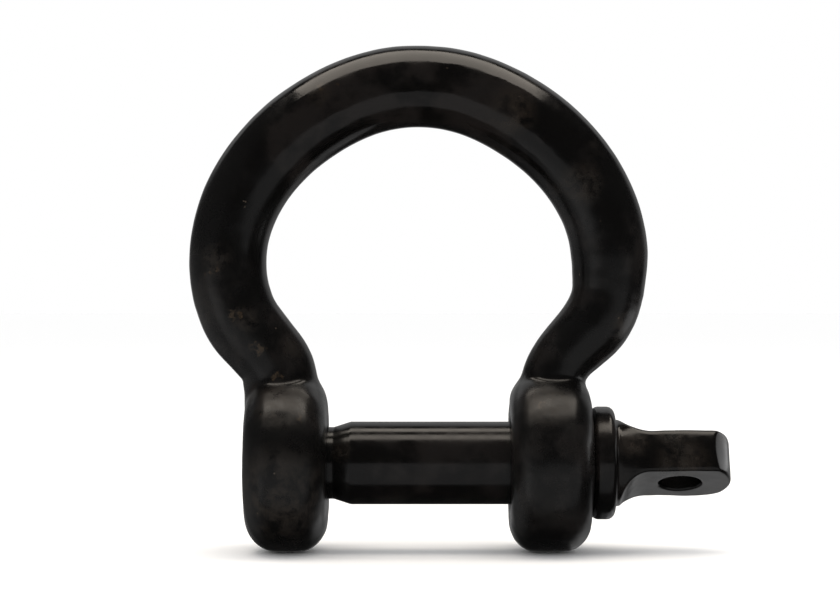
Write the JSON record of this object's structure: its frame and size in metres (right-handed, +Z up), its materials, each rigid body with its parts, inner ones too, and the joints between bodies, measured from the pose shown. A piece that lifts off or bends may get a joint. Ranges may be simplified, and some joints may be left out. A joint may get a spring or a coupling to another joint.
{
  "type": "bow shackle",
  "caption": "Forged screw-pin bow shackle: omega-shaped bar with a tapped ear and a plain ear, closed by a collared eye pin that unscrews and draws out.",
  "frame": {"origin": "on the pin's axis, midway between the two ears", "axes": "+X along the pin towards its eye, +Y from the front face to the back, +Z up to the crown of the bow"},
  "size_m": [0.079, 0.026, 0.074],
  "materials": {
    "bow_black_paint": "glossy black coating over a slightly uneven forged surface",
    "pin_black_paint": "glossy black coating, a little rubbed on the collar and the eye"
  },
  "bodies": {
    "bow": {"bow": "bow_black_paint"},
    "pin_carrier": {"pin_collar": "pin_black_paint"},
    "pin": {"screw_pin": "pin_black_paint"}
  },
  "joints": [
    {"name": "pin_travel", "type": "slide", "parent": "bow", "child": "pin_carrier", "axis": [1, 0, 0], "range_m": [0, 0.0516]},
    {"name": "pin_turn", "type": "hinge", "parent": "pin_carrier", "child": "pin", "pos_m": [0, 0, 0], "axis": [1, 0, 0], "range_deg": [0, 12385]}
  ],
  "couplings": [
    {"joint": "pin_turn", "follows": "pin_travel", "rad_per_m": 4188.8}
  ]
}
